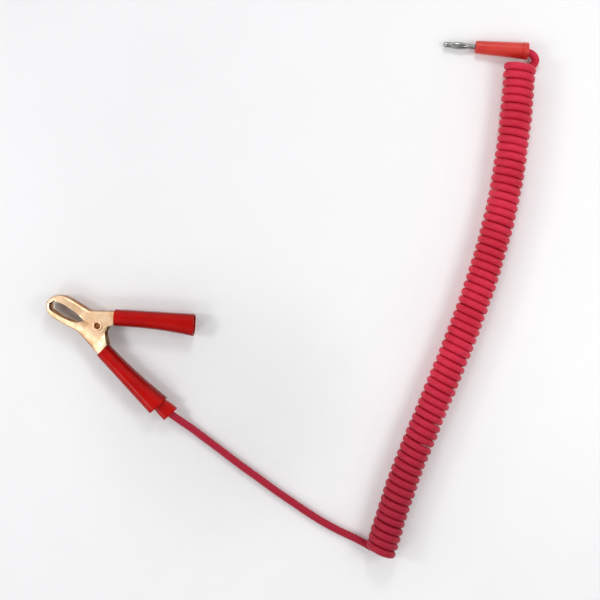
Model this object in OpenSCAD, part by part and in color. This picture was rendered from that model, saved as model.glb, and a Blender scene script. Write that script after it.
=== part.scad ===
// Coiled clip lead. A spring clip of folded, copper-plated sheet steel sits on one end of a
// retractile cord, and a 4 mm banana plug with a series resistor on the other.
// Millimetres, +Z up. The origin lies on the surface that the lead rests on, under the clip's
// pivot rivet. +X runs along the line where the jaws meet, from their tip towards the handles.

/* [Clip] */
// Outside width of the folded jaws
clip_w = 12; // [10:0.5:15]
// Distance from the pivot to the tip of the jaws
jaw_reach = 33.5; // [28:0.5:41]
// Height of each jaw's back over the line where the jaws meet
jaw_rise = 7.7; // [7:0.1:9.5]
// Thickness of the sheet steel
sheet = 0.9; // [0.7:0.05:1.1]
// Outside radius of the folds along the backs
fold_r = 1.8; // [1.4:0.1:2.4]
// Offset of the pivot above the line where the jaws meet
pivot_rise = 1.25; // [1:0.05:1.6]
// Gap between the closed jaws
mate_gap = 0.3; // [0.2:0.05:0.6]
// Radius of the upper jaw's ears, which lie outside
upper_ear_r = 4.7; // [4:0.1:5.2]
// Radius of the lower jaw's ears, which lie inside
lower_ear_r = 5.5; // [4.8:0.1:6]
// Gap between an outer and an inner ear
ear_gap = 0.15; // [0.1:0.05:0.25]

/* [Handles] */
// Slope of the upper handle
upper_slope = 24; // [20:0.5:26]
// Slope of the lower handle
lower_slope = 20.5; // [18:0.5:24]
// Distance from the pivot's axis to the back of the upper handle
upper_back = 9; // [8:0.1:10.5]
// Distance from the pivot's axis to the back of the lower handle
lower_back = 11.65; // [10:0.05:13]
// Length of the upper handle's steel from the pivot
upper_handle_l = 53; // [44:1:64]
// Length of the lower handle's steel from the pivot
lower_handle_l = 54; // [52:1:55]

/* [Grips] */
// Wall of the dipped PVC grips
grip_wall = 1.1; // [0.8:0.05:1.4]
// Gap between the steel and the grip
grip_gap = 0.1; // [0.05:0.05:0.2]
// Depth of the upper grip at its front
upper_grip_front = 10; // [9:0.1:10.5]
// Depth of the lower grip at its front
lower_grip_front = 9.2; // [8.4:0.1:10]
// Depth of both grips at their open end
grip_end = 13.4; // [11:0.1:14.5]
// Length of the upper grip past the end of its steel
upper_overhang = 4; // [2:0.5:8]
// Length of the lower grip past the end of its steel
lower_overhang = 5.8; // [4:0.2:8]
// Radius of the grips' long corners
grip_corner_r = 3; // [2.4:0.1:4]

/* [Rivet and spring] */
// Radius of the rivet's shank
rivet_r = 1.5; // [1.2:0.05:1.9]
// Radius of the rivet's heads
rivet_head_r = 3; // [2.6:0.1:3.8]
// Running gap around the rivet and under its heads
rivet_gap = 0.05; // [0.02:0.01:0.08]
// Radius of the spring's coil, to the middle of the wire
spring_r = 3; // [2.6:0.1:3.6]
// Diameter of the spring's wire
spring_wire_d = 1; // [0.8:0.05:1.1]
// Whole turns of the spring
spring_turns = 4; // [3:1:4]

/* [Cord] */
// Diameter of the cord
cord_d = 4.5; // [3.8:0.1:5.4]
// Outside diameter of the coil
coil_d = 18.9; // [17:0.1:22]
// Slack between neighbouring curls
curl_slack = 0.25; // [0.1:0.05:1]
// Diameter of the bared conductor
wire_d = 2.2; // [1.6:0.1:2.6]

/* [Plug] */
// Length of the plug's handle
plug_handle_l = 31.3; // [28:0.1:38]
// Radius of the plug's handle at its front
plug_front_r = 3.75; // [3.5:0.05:4.5]
// Radius of the plug's handle before the rear collar
plug_rear_r = 4.75; // [4.5:0.05:5.7]
// Radius of the rear collar
plug_collar_r = 5; // [4.8:0.05:6]
// Length of the rear collar
plug_collar_l = 3.3; // [2:0.1:5]
// Length of pin that shows in front of the handle
pin_l = 19.4; // [16:0.1:23]
// Diameter of the socket that the plug fits
socket_d = 4; // [3.8:0.1:4.8]
// Diameter of the pin's rear stem
stem_d = 2.8; // [2.4:0.1:3.2]

/* [Hidden] */

$fn = 48;
copper = "#e6ae78";
spring_steel = "#9a9a96";
pvc_red = "#c3140c";
cord_red = "#c5305a";
plug_red = "#d2332b";
nickel = "#c9c8c0";
resistor_tan = "#c9a878";
shrink_black = "#303034";

// Heights in the clip, which lies on its rivet and on both grips
rivet_head_h = grip_wall + grip_gap - rivet_gap;
clip_z = rivet_head_h + rivet_gap + clip_w / 2;
outer_half = clip_w / 2;
inner_half = outer_half - sheet - ear_gap;
mate_y = -pivot_rise;

// How the grips widen from their fronts to their open ends
upper_grip_from = 9.3;
lower_grip_from = 12.6;
upper_grip_to = upper_handle_l + upper_overhang;
lower_grip_to = lower_handle_l + lower_overhang;
upper_widening = 2.4;
lower_widening = 1.8;
grip_lip = 0.6;
grip_lip_in = 0.35;
grip_half = outer_half + grip_gap + grip_wall;
grip_skin = grip_gap + grip_wall;

// The cheeks step back at a shoulder before each grip, to end where its inner corners begin
shoulder_s = 0.4;
upper_shoulder_h = 1.3;
lower_shoulder_h = -3.95;
cheek_back = 2 * grip_skin + grip_corner_r - grip_wall;

// Where the lower jaw narrows to pass inside the upper one, and widens again on its handle
narrow_from = [-12.5, -9.8];
narrow_to = [6.5, 10];
fold_steps = 4;

// ---- Geometry helpers ----

function unit(v) = v / norm(v);

// A point given along and across a handle, turned to the handle's slope
function turned(p, a) = [p.x * cos(a) - p.y * sin(a), p.x * sin(a) + p.y * cos(a)];

// Point of the smooth curve through the points p, with u counted in spans
function curve(p, u) =
    let (i = min(max(floor(u), 0), len(p) - 2))
    let (f = u - i)
    let (a = p[max(i - 1, 0)], b = p[i], c = p[i + 1], d = p[min(i + 2, len(p) - 1)])
    b + f * ((c - a) + f * ((2 * a - 5 * b + 4 * c - d) + f * (3 * b - a - 3 * c + d))) / 2;

// Direction of the same curve
function heading(p, u) =
    let (i = min(max(floor(u), 0), len(p) - 2))
    let (f = u - i)
    let (a = p[max(i - 1, 0)], b = p[i], c = p[i + 1], d = p[min(i + 2, len(p) - 1)])
    unit((c - a) + f * (2 * (2 * a - 5 * b + 4 * c - d) + f * 3 * (3 * b - a - 3 * c + d)));

// Points of the curve, n to a span
function sampled(p, n) = [for (i = [0 : n * (len(p) - 1)]) curve(p, i / n)];

// Ring of n points round a centre, square to the direction d, with its first point sideways of up
function ring(centre, d, up, r, n) =
    let (side = unit(cross(d, up)))
    let (top = cross(side, d))
    [for (k = [0 : n - 1]) centre + r * (cos(360 * k / n) * side + sin(360 * k / n) * top)];

// Rounded rectangle from 0 to depth across and +-half in height
function rounded(depth, half, r) =
    [for (q = [[depth - r, half - r, 0], [r, half - r, 90], [r, r - half, 180], [depth - r, r - half, 270]])
        for (a = [0 : 22.5 : 90]) [q.x + r * cos(q.z + a), q.y + r * sin(q.z + a)]];

// Solid through rings that all have the same even number of points, or a closed band of them.
// An end is closed by strips between its point k and its last point but k
module loft(rings, closed = false) {
    n = len(rings[0]);
    count = len(rings);
    sides = [for (i = [0 : count - (closed ? 1 : 2)], k = [0 : n - 1])
        let (a = i * n, b = ((i + 1) % count) * n, m = (k + 1) % n)
        each [[a + k, b + k, b + m], [a + k, b + m, a + m]]];
    far = (count - 1) * n;
    ends = closed ? [] : [for (k = [0 : n / 2 - 2])
        let (m = n - 1 - k)
        each [[k, k + 1, m - 1], [k, m - 1, m],
            [far + m - 1, far + k + 1, far + k], [far + m, far + m - 1, far + k]]];
    polyhedron([for (r = rings) each r], concat(sides, ends), convexity = 10);
}

// Round cord along the smooth curve through a route, n rings to a span
module cord(route, d, n, sides) {
    loft([for (i = [0 : n * (len(route) - 1)])
        ring(curve(route, i / n), heading(route, i / n), [0, 0, 1], d / 2, sides)]);
}

function length_of(p) = len(p) < 2 ? 0 : [for (i = 1, s = 0; i <= len(p);
    s = s + (i < len(p) ? norm(p[i] - p[i - 1]) : 0), i = i + 1) s][len(p) - 1];

// ---- The folded jaws ----

// Section of the folded sheet: across from the back, and in height from the clip's middle
function channel_section(depth, half) =
    let (low = [fold_r, fold_r - half], high = [fold_r, half - fold_r], in_r = fold_r - sheet)
    let (step = 90 / fold_steps)
    [[depth, -half],
    for (a = [270 : -step : 180]) low + fold_r * [cos(a), sin(a)],
    for (a = [180 : -step : 90]) high + fold_r * [cos(a), sin(a)],
    [depth, half], [depth, half - sheet],
    for (a = [90 : step : 180]) high + in_r * [cos(a), sin(a)],
    for (a = [180 : step : 270]) low + in_r * [cos(a), sin(a)],
    [depth, sheet - half]];

// Folded channel along a back line. The depth and the half width are read from tables by x
module channel(line, bends, side, depths, halves) {
    stations = [for (i = [0 : 3 * bends]) i / 3, for (i = [bends + 1 : len(line) - 1]) i];
    loft([for (u = stations)
        let (at = curve(line, u), h = heading(line, u), inward = side * [-h.y, h.x])
        [for (q = channel_section(lookup(at.x, depths), lookup(at.x, halves)))
            [at.x + q.x * inward.x, at.y + q.x * inward.y, clip_z - side * q.y]]]);
}

// Depth of a grip at the distance s along its handle
function grip_depth(s, from, to, front, power) =
    front + (grip_end - front) * pow(max(s - from, 0) / (to - from), power);
function upper_grip_depth(s) =
    grip_depth(s, upper_grip_from, upper_grip_to, upper_grip_front, upper_widening);
function lower_grip_depth(s) =
    grip_depth(s, lower_grip_from, lower_grip_to, lower_grip_front, lower_widening);

// Places along the handles where the channel has a station
upper_stations = [upper_grip_from - shoulder_s, upper_grip_from - shoulder_s / 4,
    20, 31, 42, upper_handle_l];
lower_stations = [narrow_to[0], narrow_to[1], lower_grip_from - shoulder_s,
    lower_grip_from - shoulder_s / 4, 22, 32, 43, lower_handle_l];

// Back lines of the two jaws, from the nose to the end of the handle
upper_line = [
    [-jaw_reach, mate_y - 1],
    [-jaw_reach + 0.2, mate_y + 1],
    [-jaw_reach + 1.2, mate_y + 3.7],
    [-jaw_reach + 3.3, mate_y + 6.1],
    [-jaw_reach + 6.5, mate_y + jaw_rise - 0.2],
    [-jaw_reach + 10.5, mate_y + jaw_rise + 0.2],
    [-17, mate_y + jaw_rise - 0.1],
    [-11.5, mate_y + jaw_rise - 0.6],
    [-8.6, mate_y + jaw_rise - 0.7],
    turned([-2.5, upper_back - 0.4], upper_slope),
    turned([3, upper_back - 0.2], upper_slope),
    for (s = upper_stations) turned([s, upper_back], upper_slope)];
lower_line = [
    [-jaw_reach - 0.3, mate_y + 1],
    [-jaw_reach, mate_y - 1],
    [-jaw_reach + 0.9, mate_y - 3.4],
    [-jaw_reach + 3, mate_y - 5.6],
    [-jaw_reach + 6, mate_y - jaw_rise + 1],
    [-jaw_reach + 10.5, mate_y - jaw_rise + 0.6],
    [-17, mate_y - jaw_rise + 0.3],
    [narrow_from[0], mate_y - jaw_rise + 0.2],
    [narrow_from[1], mate_y - jaw_rise],
    turned([-2, -lower_back], -lower_slope),
    for (s = lower_stations) turned([s, -lower_back], -lower_slope)];

// Depths of the cheeks before they are cut to the blank's outline
nose_depth = 4;
upper_depths = [
    [-jaw_reach + 4, nose_depth], [-jaw_reach + 10, 5], [-13, jaw_rise + 1], [-9, 14],
    [upper_line[10].x, 14], [upper_line[11].x, upper_back - upper_shoulder_h + 0.5],
    for (i = [1 : len(upper_stations) - 1])
        [upper_line[i + 11].x, upper_grip_depth(upper_stations[i]) - cheek_back]];
lower_depths = [
    [-jaw_reach + 4, nose_depth], [-jaw_reach + 10, 5], [-13, jaw_rise + 1],
    [narrow_from[1], lower_back + lower_ear_r + 0.5],
    [lower_line[10].x, lower_back + lower_ear_r + 0.5],
    [lower_line[12].x, lower_back + lower_shoulder_h + 0.5],
    for (i = [3 : len(lower_stations) - 1])
        [lower_line[i + 10].x, lower_grip_depth(lower_stations[i]) - cheek_back]];
upper_halves = [[0, outer_half]];
lower_halves = [
    [narrow_from[0], outer_half], [narrow_from[1], inner_half],
    [lower_line[10].x, inner_half], [lower_line[11].x, outer_half]];

// Almond-shaped mouth in the cheeks of both jaws, with a notch behind the upper lip
mouth_front = -jaw_reach + 1.8;
mouth_rear = -7.6;
mouth_top = [[mouth_front + 3, 2.7], [mouth_front + 6.5, 3.3], [-21.5, 3.1], [-14, 2.1], [mouth_rear, 0]];
mouth_low = [[mouth_rear, 0], [-13.2, -3.2], [-20.8, -4.3], [mouth_front + 6, -3.9],
    [mouth_front + 2.3, -3.4], [mouth_front + 0.8, -2.2], [mouth_front, 0]];
module mouth() {
    translate([0, mate_y])
        polygon(concat([[mouth_front + 0.6, 1.2], [mouth_front + 1.6, 2.9]],
            sampled(mouth_top, 4), sampled(mouth_low, 4)));
}

// Flat outline of the upper jaw's cheeks: lip, mouth, ear and throat
module upper_blank() {
    difference() {
        union() {
            translate([-2 * jaw_reach, mate_y + mate_gap / 2])
                square([2 * jaw_reach, jaw_reach]);
            circle(r = upper_ear_r);
            polygon([[0, 0], [upper_ear_r - 0.1, 0.9], [upper_ear_r + 0.4, 1.9], [upper_ear_r + 1.4, 3.1],
                turned([upper_grip_from, upper_shoulder_h], upper_slope),
                turned([2 * upper_handle_l, -9], upper_slope), [upper_handle_l, 2 * upper_handle_l],
                [-1, 2 * upper_handle_l]]);
        }
        mouth();
    }
}

// Flat outline of the lower jaw's cheeks
module lower_blank() {
    difference() {
        union() {
            translate([-2 * jaw_reach, mate_y - mate_gap / 2 - jaw_reach])
                square([2 * jaw_reach, jaw_reach]);
            circle(r = lower_ear_r);
            polygon([[0, 0], [lower_ear_r - 0.2, mate_y - 0.2], [lower_ear_r + 1.4, -4],
                [lower_ear_r + 3.4, -6.5], turned([lower_grip_from, lower_shoulder_h], -lower_slope),
                turned([2 * lower_handle_l, 9], -lower_slope), [lower_handle_l, -2 * lower_handle_l],
                [-1, -2 * lower_handle_l]]);
        }
        mouth();
    }
}

// A blank's outline as a cutter through the whole clip
module through_clip() {
    translate([0, 0, clip_z - clip_w])
        linear_extrude(height = 2 * clip_w)
            children();
}

// Bore for the rivet through a pair of ears
module rivet_bore() {
    translate([0, 0, clip_z - clip_w])
        cylinder(r = rivet_r + rivet_gap, h = 2 * clip_w);
}

module upper_jaw() {
    color(copper)
        difference() {
            intersection() {
                channel(upper_line, 10, -1, upper_depths, upper_halves);
                through_clip() upper_blank();
            }
            rivet_bore();
        }
}

module lower_jaw() {
    color(copper) {
        difference() {
            intersection() {
                channel(lower_line, 9, 1, lower_depths, lower_halves);
                through_clip() lower_blank();
            }
            rivet_bore();
        }
        crimp_claws();
    }
}

// ---- Crimp on the lower handle ----

crimp_from = 40;
crimp_l = 5;
crimp_bore_r = wire_d / 2 + 0.08;
crimp_h = -lower_back + sheet + crimp_bore_r;

// Place on the lower handle: s along it, h across it, z up
function on_lower(s, h, z) = let (p = turned([s, h], -lower_slope)) [p.x, p.y, z];

// Claws lanced from the handle's back and curled round the conductor
module crimp_claws() {
    translate(on_lower(crimp_from, crimp_h, clip_z))
        rotate([0, 90, -lower_slope])
            difference() {
                cylinder(r = crimp_bore_r + sheet - 0.1, h = crimp_l);
                translate([0, 0, -1])
                    cylinder(r = crimp_bore_r, h = crimp_l + 2);
            }
}

// ---- Rivet ----

rivet_dimple_r = 1.3;
rivet_flat_r = 2.3;
module pivot_rivet() {
    seat = rivet_head_h;
    far_seat = 2 * clip_z - rivet_head_h;
    color(copper)
        rotate_extrude()
            polygon([[0, 0], [rivet_flat_r, 0], [rivet_head_r - 0.15, seat * 0.35],
                [rivet_head_r, seat * 0.65], [rivet_head_r, seat], [rivet_r, seat],
                [rivet_r, far_seat], [rivet_head_r - 0.1, far_seat],
                for (a = [0 : 30 : 180])
                    let (mid = (rivet_dimple_r + rivet_head_r - 0.1) / 2)
                    [mid + (rivet_head_r - 0.1 - mid) * cos(a), 2 * clip_z - seat + seat * sin(a)],
                [rivet_dimple_r - 0.2, 2 * clip_z - seat * 0.95], [0, 2 * clip_z - seat]]);
}

// ---- Torsion spring ----

spring_pitch = spring_wire_d + 0.5;
spring_seat = spring_wire_d / 2 + 0.05;
leg_reach = 16;
leg_toe = 4;

// Where each leg touches the back of its handle
upper_touch = turned([leg_reach, upper_back - sheet - spring_seat], upper_slope);
lower_touch = turned([leg_reach, -(lower_back - sheet - spring_seat)], -lower_slope);

// Angle at which a leg to the point p leaves the coil, above or below the line to p
function leg_angle(p, way) = atan2(p.y, p.x) + way * acos(spring_r / norm(p));

wind_from = leg_angle(lower_touch, -1) + 360;
wind_to = leg_angle(upper_touch, 1) - 360 * spring_turns;
wind_steps = ceil((wind_from - wind_to) / 45);
wind_rise = spring_pitch * (wind_from - wind_to) / 360;
function spring_at(t) = let (a = wind_from + (wind_to - wind_from) * t)
    [spring_r * cos(a), spring_r * sin(a), clip_z + wind_rise * (t - 0.5)];

// Middle of the wire from the lower toe, round the rivet, to the upper toe
spring_line = [
    concat(lower_touch + leg_toe * turned([1, 0], -lower_slope), spring_at(0).z),
    concat(lower_touch, spring_at(0).z),
    for (i = [0 : wind_steps]) spring_at(i / wind_steps),
    concat(upper_touch, spring_at(1).z),
    concat(upper_touch + leg_toe * turned([1, 0], upper_slope), spring_at(1).z)];

// Direction of a path at its point i, from its neighbours
function along(p, i) = unit(p[min(i + 1, len(p) - 1)] - p[max(i - 1, 0)]);

spring_rings = [for (i = [0 : len(spring_line) - 1])
    ring(spring_line[i], along(spring_line, i), [0, 0, 1], spring_wire_d / 2, 6)];

module torsion_spring() {
    color(spring_steel)
        loft(spring_rings);
}

// ---- Grips ----

// Ring of a grip at s: its outer face, or with an inset its inner one
function grip_ring(s, depth, slope, out, side, half, inset) =
    [for (q = rounded(depth - 2 * inset, half - inset, grip_corner_r - inset))
        let (p = turned([s, out + side * (q.x + inset)], slope))
        [p.x, p.y, clip_z + side * q.y]];

// Dipped sleeve over a handle, rounded at its front lip and open at its rear
module grip(slope, out, side, from, to, front, power) {
    places = [[from, grip_lip_in], [from + grip_lip, 0], for (i = [1 : 7]) [from + i * (to - from) / 8, 0],
        [to - grip_lip / 2, 0], [to, grip_lip_in / 2]];
    outer = [for (q = places)
        grip_ring(q.x, grip_depth(q.x, from, to, front, power), slope, out, side, grip_half, q.y)];
    inner = [for (i = [len(places) - 1 : -1 : 0]) let (s = places[i].x)
        grip_ring(s, grip_depth(s, from, to, front, power), slope, out, side, grip_half, grip_wall)];
    color(pvc_red)
        loft(concat(outer, inner), closed = true);
}

module upper_grip() {
    grip(upper_slope, upper_back + grip_skin, -1, upper_grip_from, upper_grip_to,
        upper_grip_front, upper_widening);
}

module lower_grip() {
    grip(-lower_slope, -lower_back - grip_skin, 1, lower_grip_from, lower_grip_to,
        lower_grip_front, lower_widening);
}

// ---- Cord sleeve ----

sleeve_wall = 0.9;
sleeve_z = 6.4;
sleeve_corner_r = 2.8;
sleeve_r = cord_d / 2 + sleeve_wall;
// Place along the handle, middle across it, half width across it and half height
sleeve_places = [
    [55, -6, sleeve_r + 0.75, sleeve_r + 0.75], [57.5, -5.8, sleeve_r + 0.85, sleeve_r + 0.75],
    [60, -5.45, sleeve_r + 1.05, sleeve_r + 0.75], [63, -5.1, sleeve_r + 1.65, sleeve_r + 0.65],
    [66, -4.8, sleeve_r + 1.95, sleeve_r + 0.55], [68.6, -4.6, sleeve_r + 2.1, sleeve_r + 0.6]];

function sleeve_ring(place, inset) =
    [for (q = rounded(2 * (place[2] - inset), place[3] - inset, sleeve_corner_r - inset))
        let (p = turned([place.x, place.y - place[2] + inset + q.x], -lower_slope))
        [p.x, p.y, sleeve_z + q.y]];

module cord_sleeve() {
    last = len(sleeve_places) - 1;
    color(pvc_red)
        loft(concat([for (q = sleeve_places) sleeve_ring(q, 0)],
            [for (i = [last : -1 : 0]) sleeve_ring(sleeve_places[i], sleeve_wall)]), closed = true);
}

// ---- Cord ----

cord_r = cord_d / 2;
curl_r = (coil_d - cord_d) / 2;
coil_z = curl_r + cord_r;

// Middle line of the coil, from the end of the lead to the end at the plug
coil_axis = [[212.5, -42], [206, 1], [201.4, 44], [197.2, 87], [191.2, 131], [181.5, 175], [168, 215],
    [151.7, 254]];
axis_points = sampled(coil_axis, 8);
axis_s = [for (i = 0, s = 0; i < len(axis_points);
    i = i + 1, s = s + (i < len(axis_points) ? norm(axis_points[i] - axis_points[i - 1]) : 0)) s];
coil_l = axis_s[len(axis_s) - 1];
axis_x = [for (i = [0 : len(axis_s) - 1]) [axis_s[i], axis_points[i].x]];
axis_y = [for (i = [0 : len(axis_s) - 1]) [axis_s[i], axis_points[i].y]];
axis_u = [for (i = [0 : len(axis_s) - 1]) [axis_s[i], i / 8]];
curls = round(coil_l / (cord_d + curl_slack));

// Middle of the cord in the coil at the angle t, which starts at the bottom
function coil_forward(t) = heading(coil_axis, lookup(coil_l * t / (360 * curls), axis_u));
function coil_at(t) =
    let (s = coil_l * t / (360 * curls), f = coil_forward(t))
    [lookup(s, axis_x), lookup(s, axis_y), coil_z]
        + curl_r * (sin(t) * [f.y, -f.x, 0] - cos(t) * [0, 0, 1]);
// Direction of the cord there
function coil_along(t) =
    let (f = coil_forward(t))
    unit(curl_r * (cos(t) * [f.y, -f.x, 0] + sin(t) * [0, 0, 1])
        + coil_l / curls / (2 * PI) * [f.x, f.y, 0]);

// Straight ends, one cord diameter long
coil_in = coil_at(0) - cord_d * coil_along(0);
coil_out = coil_at(360 * curls) + cord_d * coil_along(360 * curls);

function coil_ring(centre, t) =
    let (f = coil_forward(t))
    ring(centre, coil_along(t), [f.x, f.y, 0], cord_r, 6);
coil_rings = concat(
    [coil_ring(coil_in, 0)],
    [for (i = [0 : 8 * curls]) coil_ring(coil_at(45 * i), 45 * i)],
    [coil_ring(coil_out, 360 * curls)]);

module cord_coil() {
    color(cord_red)
        loft(coil_rings);
}

// Lead from the crimp, out through the sleeve and along the surface to the coil
lead_route = [
    on_lower(49, -lower_back + sheet + cord_r + 0.15, clip_z),
    [49, -25.2, 7.1], [54.3, -26.2, 6.8], [59, -27.3, 6.4], [62.7, -28.3, 6],
    [69, -29.5, cord_r + 2.25], [74, -30.4, cord_r + 0.85], [79, -31.2, cord_r + 0.15],
    [88, -32.8, cord_r], [98, -34.5, cord_r],
    [108, -36.3, cord_r], [117, -37.8, cord_r], [127, -39.3, cord_r], [137, -40.9, cord_r],
    [147, -42.3, cord_r], [156, -43.4, cord_r], [166, -44.6, cord_r], [176, -45.4, cord_r],
    [186, -45.7, cord_r], [196, -45.4, cord_r],
    coil_in - 5 * coil_along(0), coil_in];

module cord_lead() {
    color(cord_red)
        cord(lead_route, cord_d, 2, 8);
}

// Bared conductor from the claws to the end of the lead
conductor_route = [
    on_lower(crimp_from - 1.5, crimp_h, clip_z), on_lower(crimp_from + crimp_l, crimp_h, clip_z),
    on_lower(crimp_from + crimp_l + 1, crimp_h, clip_z),
    lead_route[0] - 0.8 * heading(lead_route, 0), lead_route[0]];

module clip_conductor() {
    color(copper)
        cord(conductor_route, wire_d, 3, 8);
}

// ---- Plug ----

// The plug lies on its handle, turned towards the clip. Stations run from the tip of its pin
plug_yaw = 22.5;
plug_back_at = [152.4, 264.75];
plug_tilt = atan((plug_collar_r - plug_front_r) / plug_handle_l);
plug_back_z = plug_collar_r * cos(plug_tilt);
plug_l = pin_l + plug_handle_l;
plug_dir = [cos(plug_yaw) * cos(plug_tilt), sin(plug_yaw) * cos(plug_tilt), sin(plug_tilt)];
function plug_point(s) = [plug_back_at.x, plug_back_at.y, plug_back_z] + (s - plug_l) * plug_dir;

module on_plug(s) {
    translate(plug_point(s))
        rotate([0, 90 - plug_tilt, plug_yaw])
            children();
}

// Pin: rounded head, waist under the cage, stem, shoulder in the handle and solder cup
core_r = socket_d / 2 - 0.85;
head_r = socket_d / 2 - 0.35;
head_l = 4.2;
cage_l = 11;
cage_thick = 0.25;
cage_gap = 0.04;
shoulder_at = pin_l + 4.5;
shoulder_r = plug_front_r - 1.25;
shoulder_l = 2;
cup_l = 4;
cup_r = 1.3;
cup_bore_r = 0.6;

module plug_pin() {
    rear = shoulder_at + shoulder_l + cup_l;
    color(nickel)
        on_plug(0)
            difference() {
                rotate_extrude()
                    polygon([
                        for (a = [0 : 15 : 90]) [head_r * sin(a), head_r * 0.9 * (1 - cos(a))],
                        [head_r, head_l - 0.3], [head_r - 0.3, head_l], [core_r, head_l],
                        [core_r, head_l + cage_l], [stem_d / 2, head_l + cage_l],
                        [stem_d / 2, shoulder_at], [shoulder_r, shoulder_at],
                        [shoulder_r, shoulder_at + shoulder_l], [cup_r, shoulder_at + shoulder_l],
                        [cup_r, rear], [0, rear]]);
                translate([0, 0, rear - 2.5])
                    cylinder(r = cup_bore_r, h = 3);
            }
}

// Cage of four sprung leaves round the waist, bowed past the socket's wall
leaf_bow = socket_d / 2 + 0.12;
collar_l = 1.2;
leaf_slot = 0.5;
function cage_r(t) = core_r + cage_gap + cage_thick
    + (leaf_bow - core_r - cage_gap - cage_thick) * pow(sin(180 * t), 0.8);

module plug_spring() {
    steps = 12;
    leaf_l = cage_l - 2 * collar_l;
    bow = [for (i = [0 : steps])
        [cage_r(i / steps), collar_l + leaf_l * i / steps]];
    color(nickel)
        on_plug(head_l)
            difference() {
                rotate_extrude()
                    polygon(concat([[cage_r(0), 0.05]], bow, [[cage_r(0), cage_l - 0.05]],
                        [[cage_r(0) - cage_thick, cage_l - 0.05]],
                        [for (i = [steps : -1 : 0]) bow[i] - [cage_thick, 0]],
                        [[cage_r(0) - cage_thick, 0.05]]));
                for (a = [0, 90])
                    rotate([0, 0, a])
                        translate([-socket_d, -leaf_slot / 2, collar_l])
                            cube([2 * socket_d, leaf_slot, leaf_l]);
            }
}

// Moulded handle: tapering barrel, collar behind a fine groove, cavity and cord bore
cavity_r = shoulder_r + 0.1;
cavity_to = pin_l + 23.5;
cord_bore_r = cord_r + 0.1;
edge_r = 0.8;
groove = 0.25;

module plug_handle() {
    back = plug_l;
    collar_at = back - plug_collar_l;
    color(plug_red)
        on_plug(0)
            rotate_extrude()
                polygon([
                    [stem_d / 2 + 0.05, pin_l],
                    for (a = [0 : 22.5 : 90])
                        [plug_front_r - edge_r + edge_r * sin(a), pin_l + edge_r - edge_r * cos(a)],
                    [plug_rear_r, collar_at - groove], [plug_rear_r - groove, collar_at],
                    [plug_collar_r - 0.1, collar_at], [plug_collar_r, collar_at + 0.3],
                    [plug_collar_r, back], [cord_bore_r + 0.3, back], [cord_bore_r, back - 0.4],
                    [cord_bore_r, cavity_to], [cavity_r, cavity_to],
                    [cavity_r, shoulder_at - 0.05], [stem_d / 2 + 0.05, shoulder_at - 0.05]]);
}

// Axial resistor: capped barrel with a lead at each end
resistor_at = shoulder_at + shoulder_l + cup_l + 1.5;
resistor_l = 6.4;
resistor_r = 1.2;
resistor_lead_r = 0.3;
splice_at = resistor_at + resistor_l + 1.2;
splice_l = 3;

module safety_resistor() {
    color(resistor_tan)
        on_plug(resistor_at)
            rotate_extrude()
                polygon([[0, -3], [resistor_lead_r, -3], [resistor_lead_r, 0], [resistor_r - 0.3, 0],
                    [resistor_r, 0.3], [resistor_r, 1.5], [resistor_r - 0.2, 1.9],
                    [resistor_r - 0.2, resistor_l - 1.9], [resistor_r, resistor_l - 1.5],
                    [resistor_r, resistor_l - 0.3], [resistor_r - 0.3, resistor_l],
                    [resistor_lead_r, resistor_l], [resistor_lead_r, resistor_l + 2.6],
                    [0, resistor_l + 2.6]]);
}

module resistor_sleeve() {
    color(shrink_black)
        on_plug(resistor_at - 0.6)
            difference() {
                cylinder(r = resistor_r + 0.4, h = resistor_l + 1.2);
                translate([0, 0, -1])
                    cylinder(r = resistor_r + 0.05, h = resistor_l + 4);
            }
}

// Crimped ferrule that joins the resistor's lead to the cord's conductor
module splice_ferrule() {
    color(nickel)
        on_plug(splice_at)
            difference() {
                cylinder(r = wire_d / 2 + 0.35, h = splice_l);
                translate([0, 0, splice_l / 2])
                    cylinder(r = wire_d / 2 + 0.03, h = splice_l);
                translate([0, 0, -1])
                    cylinder(r = resistor_lead_r + 0.03, h = splice_l);
            }
}

tail_at = splice_at + splice_l + 0.8;
module plug_conductor() {
    color(copper)
        on_plug(splice_at + splice_l / 2 + 0.05)
            cylinder(r = wire_d / 2, h = tail_at - splice_at - splice_l / 2 - 0.05);
}

// Tail from the coil, bent back on itself into the plug
tail_route = [
    coil_out, coil_out + 1.5 * coil_along(360 * curls), [158.8, 258.8, cord_r + 0.35],
    [159.8, 261.1, cord_r + 0.9], [159.4, 263.4, cord_r + 1.6],
    [157.9, 265, plug_back_z - 0.5], [155.8, 265.7, plug_back_z - 0.05],
    plug_point(plug_l + 1.3), plug_point(plug_l), plug_point(plug_l - 2), plug_point(tail_at)];

module cord_tail() {
    color(cord_red)
        cord(tail_route, cord_d, 2, 8);
}

// ---- Measures that the interpreter prints ----

// Least distance between the points of rings one turn apart
function turn_gap(rings, from, to, per_turn) =
    min([for (i = [from : to - per_turn], j = [-1 : 1]) if (i + per_turn + j <= to)
        for (a = rings[i], b = rings[i + per_turn + j]) norm(a - b)]);
echo(curls = curls, coil_length = coil_l, coil_gap = turn_gap(coil_rings, 1, len(coil_rings) - 2, 8));
echo(spring_gap = turn_gap(spring_rings, 2, len(spring_rings) - 3, 8));
echo(lead_length = length_of(sampled(lead_route, 4)), tail_length = length_of(sampled(tail_route, 4)));
echo(curl_length = curls * norm([2 * PI * curl_r, coil_l / curls]));

lower_jaw();
upper_jaw();
pivot_rivet();
torsion_spring();
upper_grip();
lower_grip();
cord_sleeve();
clip_conductor();
cord_lead();
cord_coil();
cord_tail();
plug_pin();
plug_spring();
plug_handle();
safety_resistor();
resistor_sleeve();
splice_ferrule();
plug_conductor();
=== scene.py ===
import math

import bmesh
import bpy
import numpy as np
from mathutils import Matrix, Vector


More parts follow.
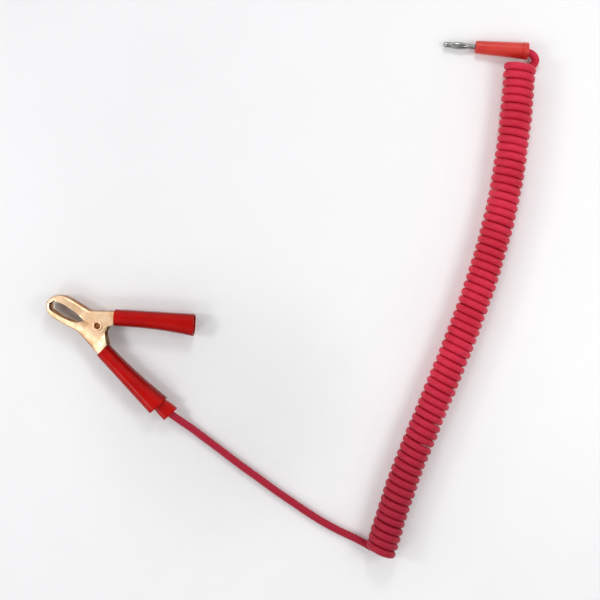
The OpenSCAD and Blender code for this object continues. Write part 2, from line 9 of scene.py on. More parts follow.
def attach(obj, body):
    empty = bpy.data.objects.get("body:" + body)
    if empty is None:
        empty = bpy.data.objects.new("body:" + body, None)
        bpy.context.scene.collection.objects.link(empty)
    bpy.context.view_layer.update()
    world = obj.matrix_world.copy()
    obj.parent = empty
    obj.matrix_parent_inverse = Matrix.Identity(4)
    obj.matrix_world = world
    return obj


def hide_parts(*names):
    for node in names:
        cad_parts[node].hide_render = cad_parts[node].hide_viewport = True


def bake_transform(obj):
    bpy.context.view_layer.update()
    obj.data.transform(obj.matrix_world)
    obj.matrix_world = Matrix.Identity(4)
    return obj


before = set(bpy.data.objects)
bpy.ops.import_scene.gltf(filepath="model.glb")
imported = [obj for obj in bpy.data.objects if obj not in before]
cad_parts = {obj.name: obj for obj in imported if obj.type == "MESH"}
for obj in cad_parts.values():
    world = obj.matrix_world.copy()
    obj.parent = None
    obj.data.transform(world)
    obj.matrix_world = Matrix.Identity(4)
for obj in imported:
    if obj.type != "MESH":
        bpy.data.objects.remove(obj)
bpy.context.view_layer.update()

MM = 0.001


# ---- Camera over the table ----
# The lead lies spread out on a table, and a camera hangs about 570 mm over it, a little off its middle.
# It looks straight down but for two degrees, and the clip lies at the left of its view.
camera_at = Vector((86.67, 87.38, 567.5)) * MM
view_right = Vector((0.88687, 0.46197, 0.00645)).normalized()
view_up = Vector((-0.46138, 0.88631, -0.03975))
view_back = view_right.cross(view_up).normalized()
view_up = view_back.cross(view_right)
camera_data = bpy.data.cameras.new("overhead_camera")
camera_data.sensor_width = 36
camera_data.lens = 55.8
camera_data.clip_start = 0.01
camera = bpy.data.objects.new("overhead_camera", camera_data)
bpy.context.collection.objects.link(camera)
view_turn = Matrix((view_right, view_up, view_back)).transposed().to_4x4()
camera.matrix_world = Matrix.Translation(camera_at) @ view_turn
bpy.context.scene.camera = camera
bpy.context.scene.view_settings.view_transform = "Standard"


# ---- The coiled cord ----
# One length of round cord with a soft crimson jacket over stranded copper. It leaves the clip's sleeve,
# lies along the table, is heat-set into a close left-hand coil, and bends back into the plug.
cord_mm = 4.5
cord_d = cord_mm * MM
cord_r = cord_d / 2
coil_d = 18.9 * MM
curl_r = (coil_d - cord_d) / 2
curls = 64

# The clip lies on its side with its pivot at the origin, and its middle plane is clip_z above the table.
# Places on a handle count along and across it from the pivot. All this is in mm.
clip_z = 7.2
lower_slope = math.radians(20.5)
lower_back = -11.65
up = np.array([0, 0, 1.0])


def unit(v):
    """Each row of v divided by its length."""
    return v / np.linalg.norm(v, axis=-1, keepdims=True)


def turned(s, h, angle):
    """The point s along and h across a handle, turned by the angle about the pivot."""
    return [s * math.cos(angle) - h * math.sin(angle), s * math.sin(angle) + h * math.cos(angle)]


def smooth_line(points, u):
    """Places on the smooth curve through the points, where u counts spans.

    In each span it is the cubic whose slope at an end is half the chord between the neighbours."""
    p = np.asarray(points, float)
    i = np.clip(np.floor(u).astype(int), 0, len(p) - 2)
    f = (u - i)[:, None]
    a, b, c, d = p[np.maximum(i - 1, 0)], p[i], p[i + 1], p[np.minimum(i + 2, len(p) - 1)]
    return b + f * ((c - a) + f * ((2 * a - 5 * b + 4 * c - d) + f * (3 * b - a - 3 * c + d))) / 2


def sampled(points, n):
    """The smooth curve through the points, at n places to a span."""
    return smooth_line(points, np.arange(n * (len(points) - 1) + 1) / n)


def heading(line):
    """Direction of a line at each point: the difference of its neighbours, made one long."""
    return unit(np.gradient(line, axis=0))


def distances(line):
    """Distance walked along a line up to each of its points: the sum of the steps before it."""
    return np.concatenate([[0], np.cumsum(np.linalg.norm(np.diff(line, axis=0), axis=1))])


def between(s, stations, rows):
    """Each column of the rows, read off at s along straight lines between their stations."""
    return np.column_stack([np.interp(s, stations, column) for column in np.transpose(rows)])


def square_to(ahead, reference):
    """Two directions square to ahead: the first also to the reference, the second to the first."""
    side = unit(np.cross(ahead, reference))
    return side, np.cross(side, ahead)


def smooth_step(x):
    """0 below 0, 1 above 1 and 3x^2 - 2x^3 between."""
    x = np.clip(x, 0, 1)
    return x * x * (3 - 2 * x)


def piece(name, surface, finish=None, wrapped=False, sharp=35):
    """A mesh piece with its place in its mesh, smooth but for edges sharper than the angle sharp.

    The surface holds its points and faces, and for a wrapped piece its UVs as well."""
    mesh = bpy.data.meshes.new(name)
    mesh.from_pydata(np.asarray(surface[0], float).tolist(), [], surface[1])
    if wrapped:
        mesh.uv_layers.new(name="wrap").data.foreach_set("uv", np.float32(surface[2]).ravel())
    mesh.polygons.foreach_set("use_smooth", [True] * len(mesh.polygons))
    mesh.set_sharp_from_angle(angle=math.radians(sharp))
    mesh.validate()
    thing = bpy.data.objects.new(name, mesh)
    bpy.context.collection.objects.link(thing)
    if finish is not None:
        mesh.materials.append(finish)
    return thing


def skin(grid, line_closed=False, capped=False):
    """Points, faces and UVs of a surface through a grid of points, rings first.

    A face joins the points k and k + 1 of the rings i and i + 1. U runs once round a ring, and V is
    the distance along the piece in metres. The faces are turned round where the volume comes out
    negative, so that they point outwards."""
    m, n, _ = grid.shape
    i, k = np.meshgrid(np.arange(m if line_closed else m - 1), np.arange(n), indexing="ij")
    i, k = i.ravel(), k.ravel()
    j, l = (i + 1) % m, (k + 1) % n
    faces = np.stack([i * n + k, j * n + k, j * n + l, i * n + l], 1)
    points = grid.reshape(-1, 3)
    length = distances(grid.mean(1))
    v0, v1 = length[i], np.where(i + 1 < m, length[np.minimum(i + 1, m - 1)], length[i] + MM)
    uv = np.stack([np.stack([k / n, v0], 1), np.stack([k / n, v1], 1),
                   np.stack([(k + 1) / n, v1], 1), np.stack([(k + 1) / n, v0], 1)], 1)
    a, b, c, d = (points[faces[:, q]] for q in range(4))
    volume = (a * (np.cross(b, c) + np.cross(c, d))).sum()
    caps = [np.arange(n)[::-1], np.arange(n) + (m - 1) * n] if capped else []
    volume += sum((points[e[0]] * np.cross(points[e[1:-1]], points[e[2:]])).sum() for e in caps)
    if volume < 0:
        faces, uv, caps = faces[:, ::-1], uv[:, ::-1], [e[::-1] for e in caps]
    cap_uv = [np.tile([[0.5, 0.0]], (n, 1)) for _ in caps]
    return (points, faces.tolist() + [e.tolist() for e in caps],
            np.concatenate([uv.reshape(-1, 2)] + cap_uv))


def rings(line, reference, radius, around):
    """Rings round a line: its point, plus the radius times cosine and sine along two directions.

    The first direction is square to the line and to the reference, the second square to both."""
    side, top = square_to(heading(line), reference)
    a = 2 * math.pi * np.arange(around)[None, :, None] / around
    radius = np.broadcast_to(radius, len(line))[:, None, None]
    return line[:, None] + radius * (np.cos(a) * side[:, None] + np.sin(a) * top[:, None])


class Signal:
    """A shader socket that takes part in arithmetic. Each operator adds one Math node."""

    def __init__(self, nodes, socket):
        self.nodes, self.socket = nodes, socket

    def __add__(self, other):
        return self.nodes.math("ADD", self, other)

    def __radd__(self, other):
        return self.nodes.math("ADD", other, self)

    def __sub__(self, other):
        return self.nodes.math("SUBTRACT", self, other)

    def __rsub__(self, other):
        return self.nodes.math("SUBTRACT", other, self)

    def __mul__(self, other):
        return self.nodes.math("MULTIPLY", self, other)

    def __truediv__(self, other):
        return self.nodes.math("DIVIDE", self, other)

    def __pow__(self, other):
        return self.nodes.math("POWER", self, other)


class Nodes:
    """The nodes of a material or of the world. The last one feeds the surface of its output."""

    def __init__(self, owner, output):
        owner.use_nodes = True
        self.tree = owner.node_tree
        self.tree.nodes.clear()
        self.surface = self.tree.nodes.new("ShaderNode" + output).inputs["Surface"]

    def feed(self, socket, value):
        """Link a signal to a socket, or set a number or colour on it."""
        if isinstance(value, Signal):
            self.tree.links.new(value.socket, socket)
        elif isinstance(value, tuple) and socket.type == "RGBA":
            socket.default_value = (*value, 1.0)
        else:
            socket.default_value = value

    def node(self, kind, settings=(), sockets=(), output=0):
        """One node of that kind. Its settings come first, then the values or links of its sockets."""
        made = self.tree.nodes.new("ShaderNode" + kind)
        for key, value in dict(settings).items():
            setattr(made, key, value)
        for key, value in dict(sockets).items():
            self.feed(made.inputs[key], value)
        return Signal(self, made.outputs[output])

    def math(self, operation, *values):
        """One Math node on the values."""
        return self.node("Math", {"operation": operation}, dict(enumerate(values)))

    def along(self, direction, source="Object"):
        """How far a place lies along a direction: the dot product of the two."""
        return self.node("VectorMath", {"operation": "DOT_PRODUCT"},
                         {0: self.node("TexCoord", output=source), 1: tuple(direction)}, output=1)

    def range(self, value, low, high, to_low=0.0, to_high=1.0, course="SMOOTHSTEP"):
        """The value carried from one range to another, and held at its ends."""
        return self.node("MapRange", {"interpolation_type": course},
                         {"Value": value, "From Min": low, "From Max": high, "To Min": to_low,
                          "To Max": to_high})


class Finish(Nodes):
    """A material under construction: its nodes end in one Principled shader."""

    def __init__(self, name, **constants):
        self.material = bpy.data.materials.new(name)
        super().__init__(self.material, "OutputMaterial")
        self.shader = self.tree.nodes.new("ShaderNodeBsdfPrincipled")
        self.tree.links.new(self.shader.outputs[0], self.surface)
        self.done(**constants)

    def place(self, stretch=(1.0, 1.0, 1.0), turn=(0.0, 0.0, 0.0), source="Object"):
        """Coordinates on the piece, or on its wrap, stretched and turned."""
        where = self.node("TexCoord", output=source)
        return self.node("Mapping", {}, {"Vector": where, "Scale": stretch, "Rotation": turn})

    def noise(self, scale, detail=3.0, roughness=0.55, where=None):
        """Cloudy noise from 0 to 1, with features about one over the scale across."""
        where = where or self.node("TexCoord", output="Object")
        return self.node("TexNoise", {}, {"Vector": where, "Scale": scale, "Detail": detail,
                                          "Roughness": roughness})

    def mix(self, factor, a, b):
        """Colour a where the factor is 0 and b where it is 1."""
        return self.node("Mix", {"data_type": "RGBA"}, {0: factor, 6: a, 7: b}, output=2)

    def bands(self, value, *stops):
        """Flat bands of colour. Each stop is the value where its colour starts, and the colour."""
        made = self.node("ValToRGB", {}, {"Fac": value})
        ramp = made.socket.node.color_ramp
        ramp.interpolation = "CONSTANT"
        while len(ramp.elements) < len(stops):
            ramp.elements.new(0.5)
        for stop, (start, colour) in zip(ramp.elements, stops):
            stop.position, stop.color = start, (*colour, 1.0)
        return made

    def bump(self, height, distance, strength):
        """A surface roughened by the height times the distance, as strongly as told."""
        return self.node("Bump", {}, {"Height": height, "Distance": distance, "Strength": strength})

    def done(self, **signals):
        """The material, after these values or signals have gone into its shader."""
        for key, value in signals.items():
            self.feed(self.shader.inputs[key.replace("_", " ")], value)
        return self.material


# The jacket is crimson and a little cloudy, with shade painted on it as a deeper tone along the lead
# than in the coil. The lengthwise drag marks of its extrusion are faint and paler, and it has a fine
# matt grain.
jacket = Finish("cord_jacket", IOR=1.46, Specular_IOR_Level=0.24, Sheen_Weight=0.04,
                Sheen_Roughness=0.45, Sheen_Tint=(1.0, 0.62, 0.68))
jacket_cloud = jacket.noise(38.0, 2.0)
jacket_grain = jacket.noise(2600.0, 2.0)
jacket_drag = jacket.noise(1.0, 3.0, where=jacket.place((26.0, 30.0, 1.0), source="UV"))
jacket_marks = jacket.range(jacket_drag, 0.58, 0.78, 0.0, 0.35)
# Painted shade: the jacket takes a deeper red along the lead and into the lower coil.
jacket_lead_shade = jacket.range(jacket.along((0.0, 1.0, 0.0)), -0.03, 0.10)
jacket_colour = jacket.mix(jacket.range(jacket_cloud, 0.34, 0.66), (0.55, 0.013, 0.039),
                           (0.65, 0.021, 0.060))
jacket_colour = jacket.mix(jacket_marks, jacket_colour, (0.66, 0.05, 0.10))
jacket_finish = jacket.done(
    Base_Color=jacket.mix(jacket_lead_shade, (0.37, 0.009, 0.031), jacket_colour),
    Roughness=0.36 + jacket_cloud * 0.10 + jacket_drag * 0.08,
    Normal=jacket.bump(jacket_grain * 0.35 + jacket_drag, 0.00006, 0.55))

# The coil's middle line on the table, and the distance walked along it.
coil_axis = np.array([[214.0, -44.3], [206, 1], [201.4, 44], [197.2, 87], [191.2, 131], [181.5, 175],
                      [168, 215], [151.7, 254]]) * MM
axis_line = sampled(coil_axis, 64)
axis_ahead = heading(axis_line)
axis_s = distances(axis_line)
coil_l = axis_s[-1]


def coil_line(per_turn):
    """Middle of the coiled cord: the coil's axis, plus the curl's radius round it from the bottom.

    The radius and the place along the axis waver slowly, and settle at both ends."""
    turn = np.arange(curls * per_turn + 1) / per_turn
    settle = smooth_step(np.minimum(turn, curls - turn))
    radius = curl_r + settle * MM * (0.10 * np.sin(turn * 0.9) + 0.07 * np.sin(turn * 2.3 + 1))
    s = coil_l * turn / curls + settle * MM * (0.07 * np.sin(turn * 1.7) + 0.05 * np.sin(turn * 4.1 + 2))
    middle = between(s, axis_s, axis_line)
    ahead = unit(between(s, axis_s, axis_ahead))
    t = 2 * math.pi * turn
    across = (radius * np.sin(t))[:, None] * np.stack([ahead[:, 1], -ahead[:, 0]], 1)
    height = cord_r + radius * (1 - np.cos(t))
    return np.column_stack([middle + across, height]), np.column_stack([ahead, 0 * turn])


coil, coil_forward = coil_line(44)
ends_ahead = unit(heading(coil)[[0, -1]] * [1, 1, 0])
coil_in = coil[0] - cord_d * ends_ahead[0]
coil_out = coil[-1] + cord_d * ends_ahead[1]

# The plug lies on its handle, whose taper tilts it, and is turned towards the clip. Places on it count
# from the tip of its pin.
plug_mm = 50.7
plug_r = 5
plug_yaw = math.radians(22.5)
plug_tilt = math.atan(1.25 / 31.3)
plug_ahead = np.array([math.cos(plug_yaw) * math.cos(plug_tilt),
                       math.sin(plug_yaw) * math.cos(plug_tilt), math.sin(plug_tilt)])
plug_back = np.array([152.4, 264.75, plug_r * math.cos(plug_tilt)]) * MM


def on_plug(s):
    """The point s mm along the plug's middle line from the tip of its pin."""
    return plug_back + (s - plug_mm) * MM * plug_ahead


# The lead's route from the crimp down to the table and on to the coil, and the tail's from the coil
# up into the plug, in mm.
lead_mm = [turned(49, -8.35, -lower_slope) + [clip_z], [49, -25.2, 7.1], [54.3, -26.2, 6.8],
           [59, -27.3, 6.4], [62.7, -28.3, 6], [69, -29.5, 4.5], [74, -30.4, 3.1], [79, -31.2, 2.4]]
lead_mm += [[x, y, cord_mm / 2] for x, y in (
    (88, -32.8), (98, -34.5), (108, -36.3), (117, -37.8), (127, -39.3), (137, -40.9), (147, -42.3),
    (156, -43.4), (166, -44.6), (176, -45.4), (186, -45.6), (196, -45.3), (203, -45.3))]
tail_mm = [[157.9, 257.3, 2.3], [159.1, 258.9, 2.5], [159.7, 260.8, 3.0], [159.3, 262.5, 3.7],
           [157.7, 263.8, 4.3], [155.3, 264.4, 4.8], [152.8, 264.1, 5.0]]
lead_line = sampled(np.vstack([np.array(lead_mm) * MM, coil_in]), 12)
tail_line = sampled(np.vstack([coil_out, np.array(tail_mm) * MM, on_plug(plug_mm - 4),
                               on_plug(42.8)]), 10)
cord_line = np.vstack([lead_line, (coil_in + coil[0]) / 2, coil, (coil_out + coil[-1]) / 2, tail_line])

# The rings are set out from straight up along the lead and the tail, and from the coil's axis in it,
# where the jacket is also a hair thicker.
turning = np.concatenate([np.zeros(len(lead_line)), [0.5], np.ones(len(coil)), [0.5],
                          np.zeros(len(tail_line))])
turning = np.convolve(np.pad(turning, 8, mode="edge"), np.ones(17) / 17, mode="valid")[:, None]
axis_way = np.vstack([np.tile(coil_forward[0], (len(lead_line) + 1, 1)), coil_forward,
                      np.tile(coil_forward[-1], (len(tail_line) + 1, 1))])
reference = turning * axis_way + (1 - turning) * up
swelled = cord_r + 0.07 * MM * turning[:, 0]
coiled_cord = piece("coiled_cord", skin(rings(cord_line, reference, swelled, 20), capped=True),
                    jacket_finish, wrapped=True)
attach(coiled_cord, "clip_base")
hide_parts("cord_lead", "cord_coil", "cord_tail")


# ---- The table and the light ----
# The table is covered with plain white card, faintly blotched and dented. Shade is painted grey on it
# round the clip, and light is painted on it as a tone that grows paler from the clip towards the coil.
# Four soft lamps stand round it in a pale room, and shiny things mirror a dim ceiling and right side.
card = Finish("white_card", Roughness=0.85, IOR=1.35)
card_blotch = card.noise(7.0, 3.0)
card_dent = card.noise(16.0, 4.0)
card_tooth = card.noise(900.0, 2.0)
card_away = card.node("VectorMath", {"operation": "DISTANCE"},
                      {0: card.node("TexCoord", output="Object"), 1: (0.085, -0.015, 0.0)}, output=1)
# Painted shade: the card turns grey within about 45 to 140 mm of a point beside the clip's grips.
card_painted_shade = 1 - card.range(card_away + card_blotch * 0.05, 0.045, 0.14)
# Painted light: the card's tone rises from grey at x = -0.05 m to near white at x = 0.32 m.
card_painted_light = card.mix(card.range(card.along((1.0, 0.0, 0.0)), -0.05, 0.32), (0.84, 0.84, 0.845),
                     (0.99, 0.99, 0.99))
card_colour = card.mix(card.range(card_blotch, 0.3, 0.7) * 0.4, card_painted_light, (0.90, 0.901, 0.905))
card_finish = card.done(
    Base_Color=card.mix(card_painted_shade, card_colour, (0.80, 0.80, 0.80)),
    Normal=card.bump(card_dent * 8 + card_tooth * 0.06, 0.0006, 0.5))
table = piece("table", ([[-3, -3, 0], [3, -3, 0], [3, 3, 0], [-3, 3, 0]], [[0, 1, 2, 3]]), card_finish)

# Each lamp's place, the point it faces and its side, in metres, and its power in watts.
for name, at, aim, size, watts in (
        ("left_lamp", (-0.30, -0.12, 0.40), (0.03, 0.01, 0.0), 0.11, 0.66),
        ("right_lamp", (0.433, 0.244, 0.45), (0.14, 0.10, 0.0), 0.20, 0.62),
        ("far_lamp", (-0.059, 0.495, 0.45), (0.10, 0.10, 0.0), 0.13, 0.80),
        ("near_lamp", (-0.07, -0.357, 0.42), (0.05, -0.02, 0.0), 0.12, 0.36)):
    light = bpy.data.lights.new(name, "AREA")
    light.shape = "SQUARE"
    light.size = size
    light.energy = watts
    lamp = bpy.data.objects.new(name, light)
    bpy.context.collection.objects.link(lamp)
    facing = (Vector(aim) - Vector(at)).to_track_quat("-Z", "Y")
    lamp.matrix_world = Matrix.Translation(at) @ facing.to_matrix().to_4x4()

# The world lights matt surfaces with the room. Shiny ones and the camera see a whiter one.
world = bpy.data.worlds.new("studio")
bpy.context.scene.world = world
sky = Nodes(world, "OutputWorld")
overhead = sky.range(sky.along(up, "Generated"), 0.80, 0.97, 1.0, 0.15, "LINEAR")
right_side = sky.range(sky.along((0.95, -0.30, 0.0), "Generated"), 0.20, 0.75, 1.0, 0.25, "LINEAR")
camera_ray, glossy_ray, clear_ray = (sky.node("LightPath", output="Is %s Ray" % kind)
                                     for kind in ("Camera", "Glossy", "Transmission"))
room = sky.node("Background", {}, {"Color": (0.97, 0.975, 0.99), "Strength": overhead * 0.74})
shown = sky.node("Background", {}, {"Color": (1.0, 1.0, 1.0), "Strength": sky.math(
    "MAXIMUM", overhead ** 0.3 * right_side, camera_ray)})
seen = sky.math("MAXIMUM", sky.math("MAXIMUM", camera_ray, glossy_ray), clear_ray)
sky.feed(sky.surface, sky.node("MixShader", {}, {0: seen, 1: room, 2: shown}))


# ---- The cord's sleeve ----
# A short boot of the same red PVC as the grips holds the cord where it enters the lower handle. It is
# squarish, flares towards its open end and is held by its own stretch inside the grip.
sleeve_z = 6.4
sleeve_wall = 0.9
sleeve_corner = 2.8

# Stations along the handle, with the sleeve's middle across it, its half depth and its half height.
sleeve_places = np.array([[55, -6, 3.9, 3.9], [57.5, -5.8, 4, 3.9], [60, -5.45, 4.2, 3.9],
                          [63, -5.1, 4.8, 3.8], [66, -4.8, 5.1, 3.7], [68.6, -4.6, 5.25, 3.75]])


def rounded_section(depth, half, back_r, front_r, steps=7):
    """Rows of points round rectangles from 0 to depth across and -half to half in height.

    The corners at 0 have the radius back_r, and those at the depth have front_r. Each corner is a
    quarter circle, and each side between two corners has a point at its middle."""
    depth, half, back_r, front_r = (np.asarray(v, float)[:, None] for v in
                                    np.broadcast_arrays(depth, half, back_r, front_r))
    parts = []
    for x, y, r, start in ((depth - front_r, half - front_r, front_r, 0),
                           (back_r, half - back_r, back_r, 90),
                           (back_r, back_r - half, back_r, 180),
                           (depth - front_r, front_r - half, front_r, 270)):
        a = np.radians(start + 90 * np.arange(steps + 1) / steps)
        parts.append(np.stack([x + r * np.cos(a), y + r * np.sin(a)], 2))
    sides = [(parts[q][:, -1:] + parts[(q + 1) % 4][:, :1]) / 2 for q in range(4)]
    return np.concatenate([part for q in range(4) for part in (parts[q], sides[q])], 1)


def handle_place(s, h, z, slope):
    """The place s along and h across a handle at the height z, all in mm, on a slope in radians."""
    x, y = turned(s, h, slope)
    return np.stack([x, y, z + 0 * s], -1) * MM


def lipped_walk(start, end, wall, lip, count):
    """Stations and insets round a sleeve's wall: out along the outer face and back along the inner.

    At both ends the inset follows a quarter circle of radius lip on either edge of the wall."""
    a = np.radians(np.linspace(0, 90, 5))
    rise, fall = lip * (1 - np.sin(a)), lip * (1 - np.cos(a))
    outer_s = np.concatenate([start + fall, np.linspace(start + lip, end - lip, count)[1:-1],
                              end - fall[::-1]])
    outer_in = np.concatenate([rise, np.zeros(count - 2), rise[::-1]])
    inner_s = np.concatenate([end - fall, np.linspace(end - lip, start + lip, count // 2)[1:-1],
                              start + fall[::-1]])
    inner_in = wall - np.concatenate([rise, np.zeros(count // 2 - 2), rise[::-1]])
    return np.concatenate([outer_s, inner_s]), np.concatenate([outer_in, inner_in])


def off_middle(finish):
    """Distance of a place above or below the clip's middle plane, in metres."""
    return finish.math("ABSOLUTE", finish.along(up) - clip_z * MM)


def pvc_finish(name, deep, pale, gloss, crest):
    """Red PVC between a deep and a pale tone, with slow dents, pale scuffs and a mould's orange-peel.

    It is painted darker as shade, from the distance crest off the clip's middle plane to 4 mm nearer to
    it."""
    pvc = Finish(name, IOR=1.5, Specular_IOR_Level=0.13)
    cloud = pvc.noise(60.0, 3.0)
    peel = pvc.noise(1100.0, 2.0)
    dents = pvc.noise(170.0, 2.0)
    scuff = pvc.noise(1.0, 4.0, 0.7, pvc.place((90.0, 700.0, 700.0), (0.0, 0.0, 0.4)))
    worn = pvc.range(scuff, 0.66, 0.80)
    # Painted shade on the sides, near the clip's middle plane.
    painted_side_shade = 1 - pvc.range(off_middle(pvc), crest - 4 * MM, crest)
    colour = pvc.mix(worn * 0.35, pvc.mix(pvc.range(cloud, 0.3, 0.7), deep, pale), (0.62, 0.10, 0.08))
    return pvc.done(
        Base_Color=pvc.mix(painted_side_shade * 0.9, colour, (0.20, 0.002, 0.001)),
        Roughness=gloss + cloud * 0.07 + worn * 0.12,
        Normal=pvc.bump(peel * 0.25 + dents, 0.00016, 0.35))


sleeve_finish = pvc_finish("sleeve_pvc", (0.40, 0.003, 0.002), (0.48, 0.006, 0.004), 0.18, 2 * MM)
sleeve_s, sleeve_in = lipped_walk(sleeve_places[0, 0], sleeve_places[-1, 0], sleeve_wall, 0.3, 26)
sleeve_line = sampled(sleeve_places, 8)
sleeve_across, sleeve_half, sleeve_high = between(sleeve_s, sleeve_line[:, 0], sleeve_line[:, 1:]).T
sleeve_section = rounded_section(2 * (sleeve_half - sleeve_in), sleeve_high - sleeve_in,
                                 sleeve_corner - sleeve_in, sleeve_corner - sleeve_in)
sleeve_grid = handle_place(sleeve_s[:, None] + 0 * sleeve_section[..., 0],
                           (sleeve_across - sleeve_half + sleeve_in)[:, None] + sleeve_section[..., 0],
                           sleeve_z + sleeve_section[..., 1], -lower_slope)
cord_sleeve = piece("cord_boot", skin(sleeve_grid, line_closed=True), sleeve_finish)
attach(cord_sleeve, "clip_base")
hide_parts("cord_sleeve")


# ---- The two grips ----
# Each handle is covered by a moulded sleeve of soft red PVC, pushed on over the steel. It is cut square
# at its front, deepens towards its open end and is rounder on the side of the other handle.
upper_slope = math.radians(24)
upper_back = 9
grip_wall = 1.1
grip_lip = 0.42
grip_stretched = 0.55
grip_skin = 1.2
grip_half = 7.2
grip_end = 13.4
grip_crown = 0.16

# Where each grip starts and ends on its handle, its depth at the front, and the power of its growth.
lower_shape = (12.6, 59.8, 9.2, 1.8)
upper_shape = (9.3, 57.0, 10, 2.4)
grip_finish = pvc_finish("grip_pvc", (0.39, 0.002, 0.001), (0.48, 0.003, 0.002), 0.13, 7 * MM)


def grip_depth(s, start, end, front_depth, power):
    """A grip's depth at s: it grows with a power of the part of its length that lies before s."""
    return front_depth + (grip_end - front_depth) * np.clip((s - start) / (end - start), 0, 1) ** power


def grip(name, slope, back, side, shape):
    """A grip's wall round its handle. Its height falls from the middle to either side with the square
    of the way out. Its wall is stretched thinner over the steel, from 1.5 to 3.5 mm inside its open
    end onwards."""
    start, end = shape[:2]
    s, inset = lipped_walk(start, end, grip_wall, grip_lip, 64)
    inset = inset * np.interp(end - s, [1.5, 3.5], [1, grip_stretched])
    part = np.clip((s - start) / (end - start), 0, 1)
    depth = grip_depth(s, *shape)
    swell = 0.05 * np.sin(part * 9.0 + 1) * np.sin(part * math.pi)
    section = rounded_section(depth - 2 * inset, grip_half - inset + swell, 3.8 - inset, 5.6 - inset, 8)
    inwards = section[..., 0] + inset[:, None]
    across = back + side * inwards
    high = section[..., 1] * (1 - grip_crown * (2 * inwards / depth[:, None] - 1) ** 2)
    grid = handle_place(s[:, None] + 0 * across, across, clip_z + side * high, slope)
    made = piece(name, skin(grid, line_closed=True), grip_finish)
    return made


lower_grip = grip("lower_grip_sleeve", -lower_slope, lower_back - grip_skin, 1, lower_shape)
upper_grip = grip("upper_grip_sleeve", upper_slope, upper_back + grip_skin, -1, upper_shape)
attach(lower_grip, "clip_base")
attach(upper_grip, "upper_lever")
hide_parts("lower_grip")
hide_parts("upper_grip")


# ---- The two jaws ----
# Each jaw with its handle is one strip of steel sheet, blanked, pierced and folded into a channel, then
# barrel-plated with copper. The upper jaw's ears lie outside the lower one's on the pivot.
mate_y = -1.25
jaw_reach = 33.5
jaw_rise = 7.7
sheet = 0.9
fold_r = 1.8
outer_half = 6.0
inner_half = 4.95
cheek_back = 5.0
throat_depth = 8.2
mate_gap = 0.15
upper_ear_r = 4.7
lower_ear_r = 5.5
bore_r = 2.25
crown = 0.5
crown_inside = 0.1
crown_reach = 5.0

# The plating is bright copper with darker stains and pits, rubbed along the strip. Deep inside the
# channels, near the clip's middle plane, it is rougher and dull brown: partly tarnish, partly painted
# shade.
copper = Finish("copper_plate", Metallic=1.0, IOR=1.5)
copper_stain = copper.noise(120.0, 4.0, 0.6)
copper_grain = copper.noise(5200.0, 2.0)
copper_rub = copper.noise(1.0, 3.0, 0.6, copper.place((60.0, 1500.0, 60.0), (0.0, 0.0, 0.3)))
copper_wave = copper.noise(170.0, 1.0)
copper_pit = copper.range(copper.noise(900.0, 2.0), 0.66, 0.76)
# Painted shade, partly tarnish: deep inside the channels the copper turns dull dark brown.
copper_deep = 1 - copper.range(off_middle(copper), 3.8 * MM, 4.9 * MM)
copper_tarnish_and_shade = copper_deep * (0.55 + copper_stain * 0.5)
copper_colour = copper.mix(copper.range(copper_stain, 0.32, 0.70), (0.91, 0.66, 0.44),
                           (0.74, 0.43, 0.22))
copper_colour = copper.mix(copper_pit * 0.5, copper_colour, (0.52, 0.26, 0.13))
copper_finish = copper.done(
    Base_Color=copper.mix(copper_tarnish_and_shade, copper_colour, (0.29, 0.095, 0.04)),
    Roughness=0.28 + copper_stain * 0.12 + copper_rub * 0.08 + copper_pit * 0.15 + copper_tarnish_and_shade * 0.12,
    Normal=copper.bump(copper_wave * 14 + copper_grain * 0.3 + copper_rub - copper_pit * 0.5, 0.00002,
                       0.6))


def channel(line, bends, side, depths, halves):
    """Rings of a folded channel along a back line in mm.

    A ring is the sheet's section, set inwards from the line: out along one cheek, round a fold, along
    the back, round the other fold and out again, then the same inside. The depth of the cheeks and
    the half width are read from tables by x. Each cheek falls away towards its fold by the crown, as
    the square of the way left to the flat part, and inside by less, clear of the other jaw's ears."""
    u = np.concatenate([np.arange(bends * 8 + 1) / 8, np.arange(bends + 1, len(line))])
    at = smooth_line(line, u)
    ahead = unit(smooth_line(line, u + 0.001) - smooth_line(line, u - 0.001))
    inward = side * np.stack([-ahead[:, 1], ahead[:, 0]], 1)
    depth = np.interp(at[:, 0], *np.array(depths, float).T)[:, None]
    half = np.interp(at[:, 0], *np.array(halves, float).T)[:, None]
    low, high = np.radians(np.linspace(270, 180, 9)), np.radians(np.linspace(180, 90, 9))
    step = np.minimum(fold_r + crown_reach * np.linspace(0.15, 1, 6),
                      depth - 0.01 * np.arange(6, 0, -1))
    rounds = []
    for radius, face, fall, turn in ((fold_r, half, crown, 1),
                                     (fold_r - sheet, half - sheet, crown_inside, -1)):
        across = np.hstack([depth, step[:, ::-1], fold_r + radius * np.cos(low) + 0 * depth,
                            fold_r + radius * np.cos(high) + 0 * depth, step, depth])
        height = np.hstack([-face, -face + 0 * step, fold_r + radius * np.sin(low) - half,
                            half - fold_r + radius * np.sin(high), face + 0 * step, face])
        height = height * (1 - fall / half * np.clip(1 - (across - fold_r) / crown_reach, 0, 1) ** 2)
        rounds.append(np.stack([across, height], 2)[:, ::turn])
    section = np.hstack(rounds)
    flat = at[:, None] + section[..., :1] * inward[:, None]
    return np.concatenate([flat, clip_z - side * section[..., 1:]], 2)


